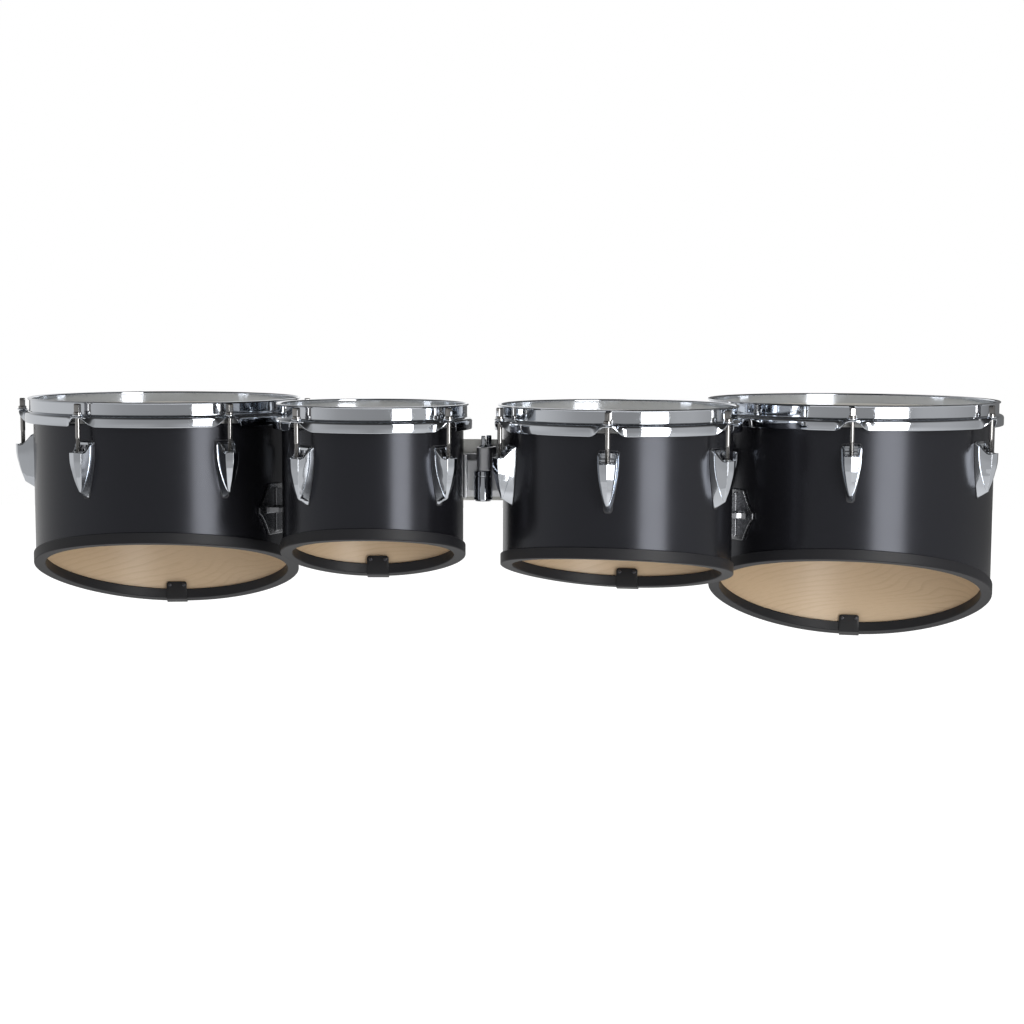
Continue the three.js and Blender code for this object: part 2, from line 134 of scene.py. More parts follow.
def rounded(corners, radii, steps=3, closed=True):
    """The line through these corners, each turned at its own radius.

    A point just before and after each bend keeps the straight part beside it flat to the eye.
    """
    corners = np.asarray(corners, float)
    line = []
    for i, (corner, radius) in enumerate(zip(corners, radii)):
        if not closed and i in (0, len(corners) - 1):
            line.append(corner)
            continue
        before, after = corners[i - 1] - corner, corners[(i + 1) % len(corners)] - corner
        lengths = [max(np.linalg.norm(before), 1e-6), max(np.linalg.norm(after), 1e-6)]
        cosine = np.clip(before @ after / (lengths[0] * lengths[1]), -0.9999, 0.9999)
        back = min(radius / math.tan(math.acos(cosine) / 2), bend_share * min(lengths))
        ways = before / lengths[0], after / lengths[1]
        start, end = corner + ways[0] * back, corner + ways[1] * back
        guard = min(flat_guard, guard_share * min(lengths))
        line.append(start + ways[0] * guard)
        for t in np.linspace(0, 1, steps + 1):
            line.append((1 - t) ** 2 * start + 2 * t * (1 - t) * corner + t ** 2 * end)
        line.append(end + ways[1] * guard)
    return np.array(line)


def beside(path, distance):
    """The line to the left of a path at this distance, its straight parts kept parallel."""
    steps = np.diff(path, axis=0)
    lengths = np.linalg.norm(steps, axis=1)[:, None]
    across = np.stack([-steps[:, 1], steps[:, 0]], axis=1) / np.maximum(lengths, 1e-9)
    before, after = np.vstack([across[:1], across]), np.vstack([across, across[-1:]])
    both = before + after
    return path + both * distance / np.maximum((both * after).sum(axis=1), 0.3)[:, None]


def around(sides):
    """Turns that share out a full circle, in radians."""
    return np.linspace(0, 2 * math.pi, sides, endpoint=False)


full_sides = 144


def ring_mesh(name, outline_at, turns=around(full_sides)):
    """A closed ring about an axis. outline_at(turn) gives its section as (reach, height)."""
    sections = [outline_at(turn) for turn in turns]
    points = [
        (reach * math.sin(turn), -reach * math.cos(turn), height)
        for turn, section in zip(turns, sections)
        for reach, height in section
    ]
    return mesh_of(name, points, bands(len(turns), len(sections[0]), looped=True))


def linear(colour):
    """An sRGB hex colour as linear RGBA."""
    channels = [int(colour[i:i + 2], 16) / 255 for i in (1, 3, 5)]
    return [c / 12.92 if c <= 0.04045 else ((c + 0.055) / 1.055) ** 2.4 for c in channels] + [1]


def feed(node, sockets):
    """Gives each named socket of a node its value, or the output that feeds it."""
    for socket, value in sockets.items():
        if isinstance(value, bpy.types.NodeSocket):
            node.id_data.links.new(value, node.inputs[socket])
        else:
            node.inputs[socket].default_value = value


def add(tree, kind, sockets=(), **settings):
    """One more node, with its settings and what its sockets are fed."""
    node = tree.nodes.new("ShaderNode" + kind)
    for name, value in settings.items():
        setattr(node, name, value)
    feed(node, dict(sockets))
    return node


def material_of(name, colour, **sockets):
    """A material with one surface shader, whose sockets are set by name."""
    material = bpy.data.materials.new(name)
    material.use_nodes = True
    material.diffuse_color = linear(colour)
    shader = material.node_tree.nodes["Principled BSDF"]
    feed(shader, {"Base Color": linear(colour)})
    feed(shader, {socket.replace("_", " "): value for socket, value in sockets.items()})
    return material, material.node_tree, shader


def grained(tree, shader, scale, detail, gloss=None, bump=None, stretch=(1, 1, 1), within=(0, 1)):
    """A fine grain all over the surface, its scale and stretch given in grains to the metre.

    gloss is the least and most roughness, reached within these shares of the grain's own range, and
    bump the depth of its relief in metres, and its strength.
    """
    where = add(tree, "TexCoord")
    drawn = add(tree, "Mapping", {"Vector": where.outputs["Object"], "Scale": stretch})
    grain = add(tree, "TexNoise", {"Vector": drawn.outputs["Vector"], "Scale": scale, "Detail": detail})
    if gloss:
        sway = add(tree, "MapRange", {
            "Value": grain.outputs["Fac"], "From Min": within[0], "From Max": within[1],
            "To Min": gloss[0], "To Max": gloss[1],
        })
        feed(shader, {"Roughness": sway.outputs["Result"]})
    if bump:
        relief = add(tree, "Bump", {
            "Height": grain.outputs["Fac"], "Distance": bump[0], "Strength": bump[1],
        })
        feed(shader, {"Normal": relief.outputs["Normal"]})


def placed(name, data):
    """A new object in the scene, from its mesh, lamp or camera."""
    thing = bpy.data.objects.new(name, data)
    bpy.context.scene.collection.objects.link(thing)
    return thing


def show(name, mesh, material, body="frame", place=Matrix(), stands_for=(), shared=False):
    """Puts one piece in its place, on its body, with its material. A shared mesh stays as it is."""
    if not mesh.materials:
        mesh.materials.append(material)
    piece = placed(name, mesh)
    if shared:
        piece.matrix_world = place
    else:
        mesh.transform(place)
    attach(piece, body)
    if stands_for:
        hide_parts(*stands_for)
    return piece


# Satin black lacquer, sprayed and rubbed down: near black, a soft clear highlight, and a faint
# orange peel 4 mm across that makes the highlight's edges waver
lacquer, tree, shader = material_of(
    "black_lacquer", "#141417", Roughness=0.23, Specular_Tint=linear("#eef2ff"),
)
grained(tree, shader, 250, 2, bump=(0.00002, 0.5))
grained(tree, shader, 24, 3, gloss=(0.2, 0.27))

# Maple veneer, peeled and clear sealed: warm pale tan, thin growth lines 7 mm apart that rise to
# the right and open into long loops, short fine pores, and a thin satin seal over it
maple, tree, shader = material_of(
    "sealed_maple", "#d9bf9c", Roughness=0.45, Coat_Weight=0.15, Coat_Roughness=0.35,
)
where = add(tree, "UVMap", uv_map="unrolled")
leaning = add(tree, "Mapping", {
    "Vector": where.outputs["UV"], "Rotation": (0, 0, -0.35), "Scale": (0.45, 1, 1),
})
swirl = add(tree, "TexNoise", {
    "Vector": leaning.outputs["Vector"], "Scale": 7.0, "Detail": 1.0, "Distortion": 0.6,
})
jitter = add(tree, "TexNoise", {"Vector": leaning.outputs["Vector"], "Scale": 60.0, "Detail": 2.0})
height = add(tree, "SeparateXYZ", {"Vector": leaning.outputs["Vector"]})
lifted = add(tree, "Math", {0: swirl.outputs["Fac"], 1: 0.14, 2: height.outputs["Y"]},
             operation="MULTIPLY_ADD")
shaken = add(tree, "Math", {0: jitter.outputs["Fac"], 1: 0.004, 2: lifted.outputs["Value"]},
             operation="MULTIPLY_ADD")
counted = add(tree, "Math", {0: shaken.outputs["Value"], 1: 140.0}, operation="MULTIPLY")
year = add(tree, "Math", {0: counted.outputs["Value"]}, operation="FRACT")
late = add(tree, "MapRange", {
    "Value": year.outputs["Value"], "From Min": 0.55, "From Max": 0.93, "To Max": 0.3,
}, interpolation_type="SMOOTHSTEP")
faint = add(tree, "TexNoise", {"Vector": leaning.outputs["Vector"], "Scale": 22.0, "Detail": 2.0})
shown = add(tree, "MapRange", {"Value": faint.outputs["Fac"], "From Min": 0.35, "From Max": 0.7})
line = add(tree, "Math", {0: late.outputs["Result"], 1: shown.outputs["Result"]}, operation="MULTIPLY")
long_grain = add(tree, "Mapping", {"Vector": leaning.outputs["Vector"], "Scale": (0.12, 1, 1)})
pores = add(tree, "TexNoise", {"Vector": long_grain.outputs["Vector"], "Scale": 1300.0, "Detail": 2.0})
pore = add(tree, "MapRange", {
    "Value": pores.outputs["Fac"], "From Min": 0.5, "From Max": 0.8, "To Max": 0.25,
})
broad = add(tree, "Mix", {0: swirl.outputs["Fac"], 6: linear("#d6bfa0"), 7: linear("#c5a986")},
            data_type="RGBA")
lined = add(tree, "Mix", {0: line.outputs["Value"], 6: broad.outputs[2], 7: linear("#a88b66")},
            data_type="RGBA")
pored = add(tree, "Mix", {0: pore.outputs["Result"], 6: lined.outputs[2], 7: linear("#a98d69")},
            data_type="RGBA")
bump = add(tree, "Bump", {"Height": pores.outputs["Fac"], "Distance": 0.00003, "Strength": 0.4})
feed(shader, {"Base Color": pored.outputs[2], "Normal": bump.outputs["Normal"]})


def unroll(mesh, radius):
    """Lays the tube's surface out flat from its front, in metres, for the veneer's figure."""
    layer = mesh.uv_layers.new(name="unrolled")
    for face in mesh.polygons:
        middle = math.atan2(-face.center.x, face.center.y)
        for corner in face.loop_indices:
            point = mesh.vertices[mesh.loops[corner].vertex_index].co
            turn = math.atan2(-point.x, point.y)
            turn = middle + (turn - middle + math.pi) % (2 * math.pi) - math.pi
            layer.data[corner].uv = (-turn * radius * mm, point.z)


for drum in drums:
    radius, inner = drum.radius, drum.radius - shell_wall
    wood = ring_mesh(f"shell_{drum.size}_maple", lambda turn: rounded([
        (radius - lacquer_depth, shell_top - edge_land),
        (radius - lacquer_depth, cut_at(drum, radius, turn) + trim_base),
        (inner, cut_at(drum, inner, turn) + trim_base),
        (inner, shell_top - shell_wall + edge_land),
        (radius - edge_land, shell_top),
    ], [sawn_edge] * 3 + [sanded_edge] * 2))
    unroll(wood, inner)
    show(f"shell_{drum.size}_maple", wood, maple, place=drum.place)
    skin = ring_mesh(f"shell_{drum.size}_lacquer", lambda turn: rounded([
        (radius, shell_top - edge_land - lacquer_depth),
        (radius, cut_at(drum, radius, turn) + trim_base),
        (radius - lacquer_depth, cut_at(drum, radius, turn) + trim_base),
        (radius - lacquer_depth, shell_top - edge_land),
    ], [sawn_edge] + [lacquer_edge] * 3))
    show(f"shell_{drum.size}_lacquer", skin, lacquer, place=drum.place,
         stands_for=[f"shell_{drum.size}"])

# Edge trims
# A U-shaped channel of black vinyl, pushed over each slanted lower edge from below. Its two legs
# stand a little proud of the shell, and their rounded tops catch a thin line of light.

trim_lip = 3.5
trim_height = 12
trim_bends = [0.9, 1.3, 1.3, 1.2, 0.4, 0.1, 0.1, 0.3]

# Extruded vinyl: black, a dull sheen, and fine drawn lines that only soften the highlight
vinyl, tree, shader = material_of("black_vinyl", "#1b1b1e", Roughness=0.46, Specular_IOR_Level=0.28)
grained(tree, shader, 900, 3, bump=(0.00003, 0.5))

for drum in drums:
    outer, inner = drum.radius + trim_reach, drum.radius - shell_wall
    lip = inner - trim_lip
    trim = ring_mesh(f"edge_trim_{drum.size}", lambda turn: rounded(
        [(reach, cut_at(drum, reach, turn) + height) for reach, height in (
            (outer, trim_height), (outer, 0), (lip, 0), (lip, trim_height),
            (inner, trim_height), (inner, trim_base),
            (drum.radius, trim_base), (drum.radius, trim_height),
        )],
        trim_bends,
    ))
    show(f"edge_trim_{drum.size}", trim, vinyl, place=drum.place)

# Seam clips
# The trim's two ends meet at the lowest point of the back. A bent clip covers the joint, held
# inside by two small pan-head screws near its upper corners.

clip_width = 25
clip_turns = {"12": 181, "8": 176.8, "10": 178.3, "13": 179.3}
clip_gauge = 1.6
clip_inside = 19.8
clip_corner, clip_bend = 3.2, 2.4
clip_stations = 25
clip_screw_aside = 8.5
clip_screw_below = 3.3
pan_head_outline = [(0, 0.9), (0.7, 0.9), (0.7, 1.4), (2.0, 1.2), (2.2, 0), (0, 0)]
pan_head_bends = [0, 0, 0.1, 0.7, 0, 0]

# Coated steel strip: black and smoother than the vinyl under it
coated, tree, shader = material_of(
    "black_coated_steel", "#19191c", Roughness=0.38, Specular_IOR_Level=0.4,
)
grained(tree, shader, 1400, 2, bump=(0.00002, 0.4))

# Black zinc plate on the screws: a dark grey, mottled metal that shows them at the clip's corners
black_zinc, tree, shader = material_of("black_zinc_plate", "#58585c", Metallic=1.0, Roughness=0.26)
grained(tree, shader, 1500, 2, gloss=(0.2, 0.36))


def lathe(name, corners, bends, sides=32):
    """A turned piece about Z. Its corners of (reach, height) start and end on the axis."""
    profile = rounded(corners, bends, closed=False)
    points = [(r * math.sin(t), -r * math.cos(t), z) for t in around(sides) for r, z in profile]
    faces = [face for face in bands(sides, len(profile), looped=True)
             if face[0] % len(profile) < len(profile) - 1]
    return mesh_of(name, points, faces)


def capped(rings):
    """Points and faces of a solid through a stack of rings: one end, the bands, the other end."""
    count = len(rings[0])
    ends = [list(range(start, start + count)) for start in (0, (len(rings) - 1) * count)]
    return np.concatenate(rings), ends[:1] + bands(len(rings), count) + ends[1:]


def thick(path, gauge, end_steps=3):
    """The outline of a sheet of this gauge that follows a path, with rounded edges."""
    path = np.asarray(path, float)
    left, right = beside(path, gauge / 2), beside(path, -gauge / 2)
    caps = []
    for at, across in ((path[-1], left[-1] - path[-1]), (path[0], right[0] - path[0])):
        onward = np.array([across[1], -across[0]])
        for t in np.linspace(0, math.pi, end_steps + 2)[1:-1]:
            caps.append(at + across * math.cos(t) + onward * math.sin(t))
    return np.concatenate([left, caps[:end_steps], right[::-1], caps[end_steps:]])


pan_head = lathe("pan_head", pan_head_outline, pan_head_bends)

for drum in drums:
    inner = drum.radius - shell_wall - trim_lip - clip_gauge / 2
    outer = drum.radius + trim_reach + clip_gauge / 2
    sections = []
    for x in np.sin(np.linspace(-math.pi / 2, math.pi / 2, clip_stations)) * clip_width / 2:
        into = max(0, abs(x) - (clip_width / 2 - clip_corner))
        less = clip_corner - math.sqrt(max(clip_corner ** 2 - into ** 2, 0))
        path = rounded([
            (inner, cut_at(drum, inner, math.pi) + clip_inside - less),
            (inner, cut_at(drum, inner, math.pi) - clip_gauge / 2),
            (outer, cut_at(drum, outer, math.pi) - clip_gauge / 2),
            (outer, cut_at(drum, outer, math.pi) + trim_height - less),
        ], [0, clip_bend, clip_bend, 0], steps=5, closed=False)
        sections.append([(x, y, z) for y, z in thick(path, clip_gauge)])
    clip = mesh_of(f"seam_clip_{drum.size}", *capped(sections))
    round_drum = drum.place @ turned_about_z(clip_turns[drum.size] - 180)
    show(f"seam_clip_{drum.size}", clip, coated, place=round_drum)
    for side, aside in (("left", -clip_screw_aside), ("right", clip_screw_aside)):
        height = cut_at(drum, inner, math.pi) + clip_inside - clip_screw_below
        at = Vector((aside, inner - clip_gauge / 2, height)) * mm
        turn = Matrix.Rotation(math.radians(90), 4, "X")
        show(f"clip_screw_{drum.size}_{side}", pan_head, black_zinc,
             place=round_drum @ Matrix.Translation(at) @ turn, shared=True)

# Drumheads
# A sheet of polyester film, formed with a collar over the shell's edge and bonded into an
# aluminium flesh hoop. The chromed hoop presses the flesh hoop down, so only the film shows.

head_depth = 12
film = 0.8
flesh_height = 6
flesh_top = -18.2
flesh_reach = 7.3
collar_over = 1
film_bends = [0, 1.2, 0.1, 0.1, 0.6, 0]
channel_bends = [0.8, 1.2, 1.2, 0.8]
seat = 0.3

# Coated polyester film: milky, half clear, with a fine sprayed coat that dulls its gloss
polyester, tree, shader = material_of(
    "coated_polyester_film", "#e3e0d7", Roughness=0.34, Transmission_Weight=0.35, IOR=1.6,
)
grained(tree, shader, 1100, 3, gloss=(0.28, 0.42), bump=(0.00003, 0.6))

# Extruded aluminium: dull grey metal with lines along the drawn channel, 0.3 mm apart and so
# coarser than real ones, to let them show
extruded, tree, shader = material_of("extruded_aluminium", "#8f8f8e", Metallic=1.0, Roughness=0.4)
grained(tree, shader, 1, 2, bump=(0.00002, 0.5), stretch=(60, 60, 3000))

for drum in drums:
    inside = drum.radius + seat
    flesh_bottom = flesh_top - flesh_height
    skin = lathe(f"head_{drum.size}", [
        (0, -head_depth), (inside + film, -head_depth), (inside + film, flesh_bottom + collar_over),
        (inside, flesh_bottom + collar_over), (inside, -head_depth - film), (0, -head_depth - film),
    ], film_bends, sides=full_sides)
    show(f"head_{drum.size}", skin, polyester, place=drum.place,
         stands_for=[f"head_{drum.size}"])
    channel = rounded([
        (inside + film, flesh_top), (drum.radius + flesh_reach, flesh_top),
        (drum.radius + flesh_reach, flesh_bottom), (inside + film, flesh_bottom),
    ], channel_bends)
    flesh = ring_mesh(f"flesh_hoop_{drum.size}", lambda turn: channel)
    show(f"flesh_hoop_{drum.size}", flesh, extruded, place=drum.place)

# Hoops
# Triple-flanged steel, rolled from one sheet and chrome plated: a lip turned out at the top, the
# wall, a step, and a skirt. At each rod the skirt is drawn out level into an ear.

gauge = 2.3
lip_reach = 6.2
hoop_wall = 4.4
skirt_reach = 9.9
step_depth = 15.6
step_rise, step_fall = 1.2, 0.8
lip_bend, step_bend, ear_bend = 1.7, 2.6, 6
ear_span, ear_spacing = 20, 1.25
plain_start, plain_stations = 1, 12
ear_from_rod = [0, 4, 6.5, 9.7, 13.2, 16, 19]
ear_fall = [0, 0.1, 1.3, 4.7, 8.2, 10.5, 11.2]
ear_reach = [9.1, 8.9, 8.4, 6.7, 4.0, 1.5, 0]

# Chrome plate on buffed steel: a cool mirror, with a very slight waver from the rolled sheet and
# faint wiping marks in its gloss
chrome, tree, shader = material_of("chrome_plate", "#dadee4", Metallic=1.0, Roughness=0.05)
grained(tree, shader, 45, 1, bump=(0.0001, 0.25))
grained(tree, shader, 160, 4, gloss=(0.035, 0.1), within=(0.4, 0.75))


def lug_turns(drum):
    """Turns of a drum's lugs and rods from its front, in degrees."""
    return [drum.first_lug + i * 360 / drum.lugs for i in range(drum.lugs)]


def hoop_section(from_rod):
    """The hoop's section at this distance from the nearest rod, its reach counted from the shell."""
    out = np.interp(from_rod, ear_from_rod, ear_reach)
    fall = np.interp(from_rod, ear_from_rod, ear_fall)
    level = -step_depth - gauge / 2
    wall, skirt = hoop_wall - gauge / 2, skirt_reach - gauge / 2
    regular = fall / ear_fall[-1]
    edge = (skirt + out - (1 - regular) * gauge / 2, level - fall + regular * gauge / 2)
    corners = [(lip_reach - gauge / 2, -gauge / 2), (wall, -gauge / 2), (wall, level + step_rise),
               (skirt, level - step_fall * regular), edge]
    bend = step_bend + ear_bend * regular * (1 - regular) * 4
    return thick(rounded(corners, [0, lip_bend, step_bend, bend, 0], steps=6, closed=False), gauge)


for drum in drums:
    reach = drum.radius + skirt_reach
    near = np.arange(0, ear_span, ear_spacing)
    half_gap = math.pi / drum.lugs * reach
    spread = np.concatenate([near, np.linspace(near[-1] + plain_start, half_gap, plain_stations)])
    distances = np.concatenate([-spread[:0:-1], spread[:-1]])
    stations = [(math.radians(turn) + s / reach, abs(s)) for turn in lug_turns(drum) for s in distances]
    at_turn = dict(stations)
    hoop = ring_mesh(
        f"hoop_{drum.size}",
        lambda turn: hoop_section(at_turn[turn]) + [drum.radius, 0],
        turns=[turn for turn, _ in stations],
    )
    show(f"hoop_{drum.size}", hoop, chrome, body=f"hoop_{drum.size}", place=drum.place,
         stands_for=[f"hoop_{drum.size}"])

# Tension rods
# Plated steel key rods: a square head for a drum key on a round collar, over a loose washer, then
# a plain shank and a rolled thread that screws into the lug's insert.

rod_offset = 13.9
rod_radius = 2.75
rod_sides = 40
thread_top = -39.5
thread_pitch = 1.06
thread_depth = 0.45
thread_under = 0.15
thread_runout = 2
rod_end = -76.5
tip_taper, tip_length = 0.4, 1.5
shank_bottom = thread_top + 0.6
washer_radius = 5.6
washer_play = 0.2
washer_bends = [0.2, 0.5, 0.5, 0.2]
washer_sides = 36
washer_bottom = -15.3
washer_height = 1.5
collar_radius = 4.6
collar_height = 3
collar_foot = [(-0.4, 0), (0, 0.4)]
collar_crown = [(0, -0.9), (-0.3, -0.3), (-0.9, 0)]
key_square = 6.35
key_height = 9
key_foot = 0.05
key_crown = [(0, -1.3), (-0.5, -0.5), (-1.5, 0)]
key_turn = 12
round_corner, key_corner = 2, 9


def squircle(side, corner, height, sides, turn=0.0):
    """A level ring of points: a circle at corner 2, and squarer the higher the corner."""
    ring = []
    for angle in around(sides):
        dx, dy = math.cos(angle), math.sin(angle)
        reach = (abs(dx) ** corner + abs(dy) ** corner) ** (-1 / corner) * side / 2
        ring.append((reach * math.cos(angle + turn), reach * math.sin(angle + turn), height))
    return ring


def stack(name, rings, crease=crease_angle, lined=0):
    """A closed piece through a stack of rings.

    Its first end, and as many bands as are lined, take the second material.
    """
    return mesh_of(name, *capped(rings), crease, lined * len(rings[0]) + 1 if lined else 0)


# Nickel plate over steel: warmer and darker than the chrome beside it, its gloss a little worn
nickel, tree, shader = material_of("nickel_plate", "#a9a7a5", Metallic=1.0, Roughness=0.14)
grained(tree, shader, 300, 3, gloss=(0.08, 0.2))

thread_rows = np.arange(rod_end, thread_top, thread_pitch / 4)
rod_rings = []
for height in thread_rows:
    fade = min(1, (height - rod_end) / thread_runout, thread_top - height)
    taper = tip_taper * max(0, 1 - (height - rod_end) / tip_length)
    ring = []
    for angle in around(rod_sides):
        wave = abs(((height / thread_pitch + angle / (2 * math.pi)) % 1) * 2 - 1)
        reach = rod_radius - thread_under - thread_depth * wave * max(fade, 0) - taper
        ring.append((reach * math.cos(angle), reach * math.sin(angle), height))
    rod_rings.append(ring)
washer_top = washer_bottom + washer_height
collar_top = washer_top + collar_height
rod_rows = [(rod_radius, shank_bottom), (rod_radius, washer_top)]
rod_rows += [(collar_radius + out, washer_top + up) for out, up in collar_foot]
rod_rows += [(collar_radius + out, collar_top + up) for out, up in collar_crown]
rod_rings += [squircle(2 * reach, round_corner, z, rod_sides) for reach, z in rod_rows]
key_rows = [(key_square, collar_top + key_foot)]
key_rows += [(key_square + out, collar_top + key_height + up) for out, up in key_crown]
rod_rings += [squircle(side, key_corner, z, rod_sides, math.radians(key_turn)) for side, z in key_rows]
rod_mesh = stack("tension_rod", rod_rings)
washer_hole = rod_radius + washer_play
washer_section = rounded([
    (washer_hole, washer_bottom), (washer_radius, washer_bottom), (washer_radius, washer_top),
    (washer_hole, washer_top),
], washer_bends)
washer_mesh = ring_mesh("washer", lambda turn: washer_section, turns=around(washer_sides))


def rod_place(drum, turn):
    """Where a rod's axis stands: a little out from the shell, at its lug's turn."""
    out = Matrix.Translation((0, -(drum.radius + rod_offset) * mm, 0))
    return drum.place @ turned_about_z(turn) @ out


for drum in drums:
    for i, turn in enumerate(lug_turns(drum), 1):
        name = f"tension_rod_{drum.size}_{i}"
        at = rod_place(drum, turn)
        show(name, rod_mesh, nickel, body=name, place=at, stands_for=[name],
             shared=True)
        show(f"washer_{drum.size}_{i}", washer_mesh, chrome, body=name, place=at, shared=True)

# Lugs
# Die-cast zinc, chrome plated: a shield with rounded upper corners lies on the shell, and a hollow
# keel stands out of it and runs down to the tip. The rod's threaded insert swivels in the keel.

lug_top = -42.5
lug_length = 63.5
plate_corner = 2.3
valley_share = 0.2
flank_shares = [0.2, 0.4, 0.6, 0.8]
pocket_rim, pocket_lip = 1.7, 1.2
pocket_back = 3.4
pocket_levels, pocket_shares = [22, 8, 3, 0.5], [0.9, 1, 0.97, 1]
throat_half, throat_back, throat_front = 6.2, 7, 20
rim_insets, rim_levels = [0.8, 0.25], [0, 0.25]
border_bend, foot_bend, edge_bend, ridge_bend = 0.6, 0.4, 0.7, 0.6
foot_share = 0.3
lug_crease = 40
lug_levels = [0, 20, 34, 45.5, 53.3, 56.6, lug_length]
shield_half = [11.6, 11, 9.2, 7.1, 5.6, 4.7, 3]
border_half = [11.3, 10.5, 8.6, 5.8, 3.2, 1.5, 1.1]
border_reach = [5.5, 6, 7.2, 8.9, 10.2, 10.7, 0.6]
edge_half = [8, 7.4, 6.1, 4.2, 2.2, 1, 0.8]
edge_reach = [19.5, 19, 17.4, 14.8, 12.4, 11.4, 0.6]
ridge_reach = [22.2, 21.5, 19.5, 16.3, 13.2, 11.9, 0.7]
top_reach = [0, 4, 8.9, 12, 15, 19, 23]
top_drop = [0, 2.4, 8.2, 11.4, 13.2, 13, 12.2]


def eased(at, places, values):
    """A smooth curve through a table of values."""
    places, values = np.asarray(places, float), np.asarray(values, float)
    slopes = np.gradient(values, places)
    i = int(np.clip(np.searchsorted(places, at) - 1, 0, len(places) - 2))
    span = places[i + 1] - places[i]
    t = (at - places[i]) / span
    return ((2 * t ** 3 - 3 * t ** 2 + 1) * values[i] + (t ** 3 - 2 * t ** 2 + t) * span * slopes[i]
            + (3 * t ** 2 - 2 * t ** 3) * values[i + 1] + (t ** 3 - t ** 2) * span * slopes[i + 1])


def lug_section(level):
    """The lug's outline at a level, as (aside, reach), from the left edge over the ridge."""
    table = eased if level < lug_levels[-2] else np.interp
    shield, border, border_out, edge, edge_out, ridge = (
        table(level, lug_levels, column)
        for column in (shield_half, border_half, border_reach, edge_half, edge_reach, ridge_reach)
    )
    corner = max(0, plate_corner - level)
    less = plate_corner - math.sqrt(plate_corner ** 2 - corner ** 2)
    shield, border = shield - less, border - less
    foot = (border + (edge - border) * foot_share, border_out - (edge_out - border_out) * valley_share)
    flank = [(foot[0] + (edge - foot[0]) * share, foot[1] + (edge_out - foot[1]) * share)
             for share in flank_shares]
    half = [(shield, 0), (border, border_out), foot, *flank, (edge, edge_out)]
    corners = [(-x, y) for x, y in half] + [(0, ridge)] + half[::-1]
    radii = [0, border_bend, foot_bend] + [0] * len(flank_shares) + [edge_bend]
    return rounded(corners, radii + [ridge_bend] + radii[::-1], closed=False)


def lug_ring(face, outline, level):
    """A section set on the shell's curve. Near the top it slopes down from the shield to the keel."""
    fade = max(0, 1 - level / lug_levels[2])
    return [
        (x, -math.sqrt(face ** 2 - x ** 2) - y,
         lug_top - level - np.interp(y, top_reach, top_drop) * fade)
        for x, y in outline
    ]


lug_rows = [0.8, 1.6, 2.3, 4, 7, 10, 14, 18, 22, 26, 30, 34, 37, 40, 43, 46, 49, 51.5, 54, 55.4,
            56.2, 57, 59, 61, 62.5, lug_length]


def lug_mesh(drum):
    """A lug bent to its drum: from the bottom of the pocket up to the rim, then down to the tip."""
    face = drum.radius + seat
    rim = lug_section(0)
    mouth = beside(rim, -pocket_rim)
    mouth[:, 1] = np.maximum(mouth[:, 1], pocket_back)
    throat = np.clip(mouth, (-throat_half, throat_back), (throat_half, throat_front))
    pocket = zip((throat, throat, mouth, mouth), pocket_shares, pocket_levels)
    rings = [lug_ring(face, outline * [share, 1], level) for outline, share, level in pocket]
    rings.append(lug_ring(face, beside(rim, -pocket_lip), 0))
    rings += [lug_ring(face, beside(rim, -inset), level) for inset, level in zip(rim_insets, rim_levels)]
    rings.append(lug_ring(face, rim, lug_rows[0]))
    rings += [lug_ring(face, lug_section(level), level) for level in lug_rows[1:]]
    # The pocket's faces take the darker zinc: partly bare metal, partly painted shade for the recess
    mesh = stack(f"lug_{drum.size}", rings, lug_crease, lined=2)
    mesh.materials.append(chrome)
    mesh.materials.append(pocket_zinc_and_shade)
    return mesh


# Bare zinc inside the lug's pocket, where the plating did not reach: a fine-grained grey metal, darker
# than the chrome; its darkness is partly bare zinc and partly painted shade for the deep pocket
pocket_zinc_and_shade, tree, shader = material_of("bare_zinc_and_painted_shade", "#8e8f94", Metallic=1.0, Roughness=0.25)
grained(tree, shader, 1100, 3, bump=(0.0001, 0.5))

# Zinc-plated steel for the inserts and screws: bright grey metal, a little dull and mottled
zinc, tree, shader = material_of("zinc_plated_steel", "#b9bcbf", Metallic=1.0, Roughness=0.28)
grained(tree, shader, 700, 2, gloss=(0.2, 0.4))

# Black rubber gasket under each lug: a dull dark edge that keeps the casting off the lacquer
gasket_rubber, tree, shader = material_of("gasket_rubber", "#2a2a2d", Roughness=0.6)
grained(tree, shader, 2500, 2, bump=(0.00003, 0.6))

gasket_proud = 0.35
gasket_below = 1.6
gasket_gauge = 0.8
gasket_spacing = 2.0
gasket_tip = [(5, -2), (4.2, gasket_below - 1.5), (2.4, gasket_below)]


def gasket_mesh(drum):
    """The gasket of a drum's lugs, a little larger than their shields, with a rounded tip."""
    half = [(eased(d, lug_levels[:-1], shield_half[:-1]) + gasket_proud, d)
            for d in np.arange(0, lug_levels[-2], gasket_spacing)]
    tip = [(x, lug_length + d) for x, d in gasket_tip]
    right = [(shield_half[0] - plate_corner, -gasket_proud)] + half[1:] + tip
    outline = right + [(-x, d) for x, d in right[::-1]]
    face = drum.radius - gasket_gauge / 4
    rings = [
        [(x, -math.sqrt((face + out) ** 2 - x ** 2), lug_top - d) for x, d in outline]
        for out in (0, gasket_gauge)
    ]
    return stack(f"lug_gasket_{drum.size}", rings)


insert_play, insert_radius, insert_neck = 0.15, 4.6, 3.9
insert_levels = [30, 13.5, 11.8]
insert_bends = [0.2, 0.5, 0.6, 0.5, 0.2]
insert_bore = rod_radius + insert_play
insert_foot, insert_shoulder, insert_top = (lug_top - level for level in insert_levels)
insert_section = rounded([
    (insert_bore, insert_foot), (insert_radius, insert_foot), (insert_radius, insert_shoulder),
    (insert_neck, insert_top), (insert_bore, insert_top),
], insert_bends)
insert_mesh = ring_mesh("swivel_insert", lambda turn: insert_section, turns=around(washer_sides))

